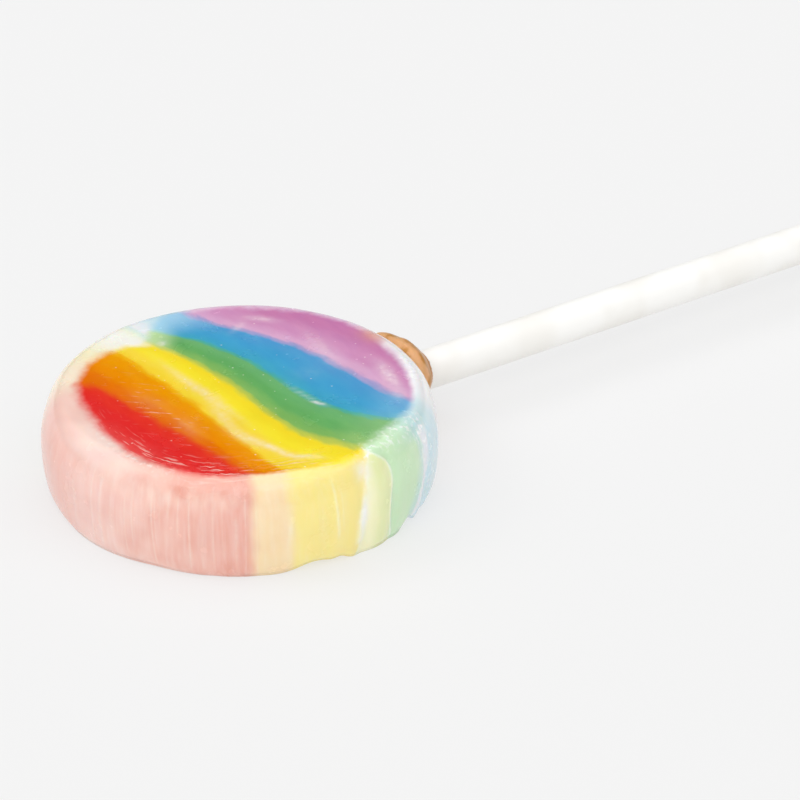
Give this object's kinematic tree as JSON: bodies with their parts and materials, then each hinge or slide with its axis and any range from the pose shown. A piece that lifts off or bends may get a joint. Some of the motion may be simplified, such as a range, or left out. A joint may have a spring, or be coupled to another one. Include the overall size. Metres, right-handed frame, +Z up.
{
  "type": "striped disc lollipop",
  "caption": "Round flat boiled-sugar lollipop with wavy rainbow stripes in a milky pulled-sugar jacket, an amber syrup lump at the stick's entry and a white paper stick, lying on its back.",
  "frame": {"origin": "on the floor under the middle of the round head", "axes": "+X along the stick, away from the head; +Z up, through the head's thickness; +Y across the stick"},
  "size_m": [0.121, 0.0386, 0.0102],
  "materials": {
    "milky_sugar": "pulled boiled sugar, milky and glossy, tinted by the stripe behind it",
    "red_sugar": "glossy boiled sugar",
    "orange_sugar": "glossy boiled sugar",
    "yellow_sugar": "glossy boiled sugar",
    "green_sugar": "glossy boiled sugar",
    "blue_sugar": "glossy boiled sugar",
    "violet_sugar": "glossy boiled sugar",
    "amber_syrup": "set amber syrup, glossy",
    "white_paper": "rolled paper, matte"
  },
  "bodies": {
    "root": {"jacket": "milky_sugar", "stripe_red": "red_sugar", "stripe_orange": "orange_sugar", "stripe_yellow": "yellow_sugar", "stripe_green": "green_sugar", "stripe_blue": "blue_sugar", "stripe_violet": "violet_sugar", "amber_collar": "amber_syrup", "paper_stick": "white_paper"}
  },
  "joints": []
}
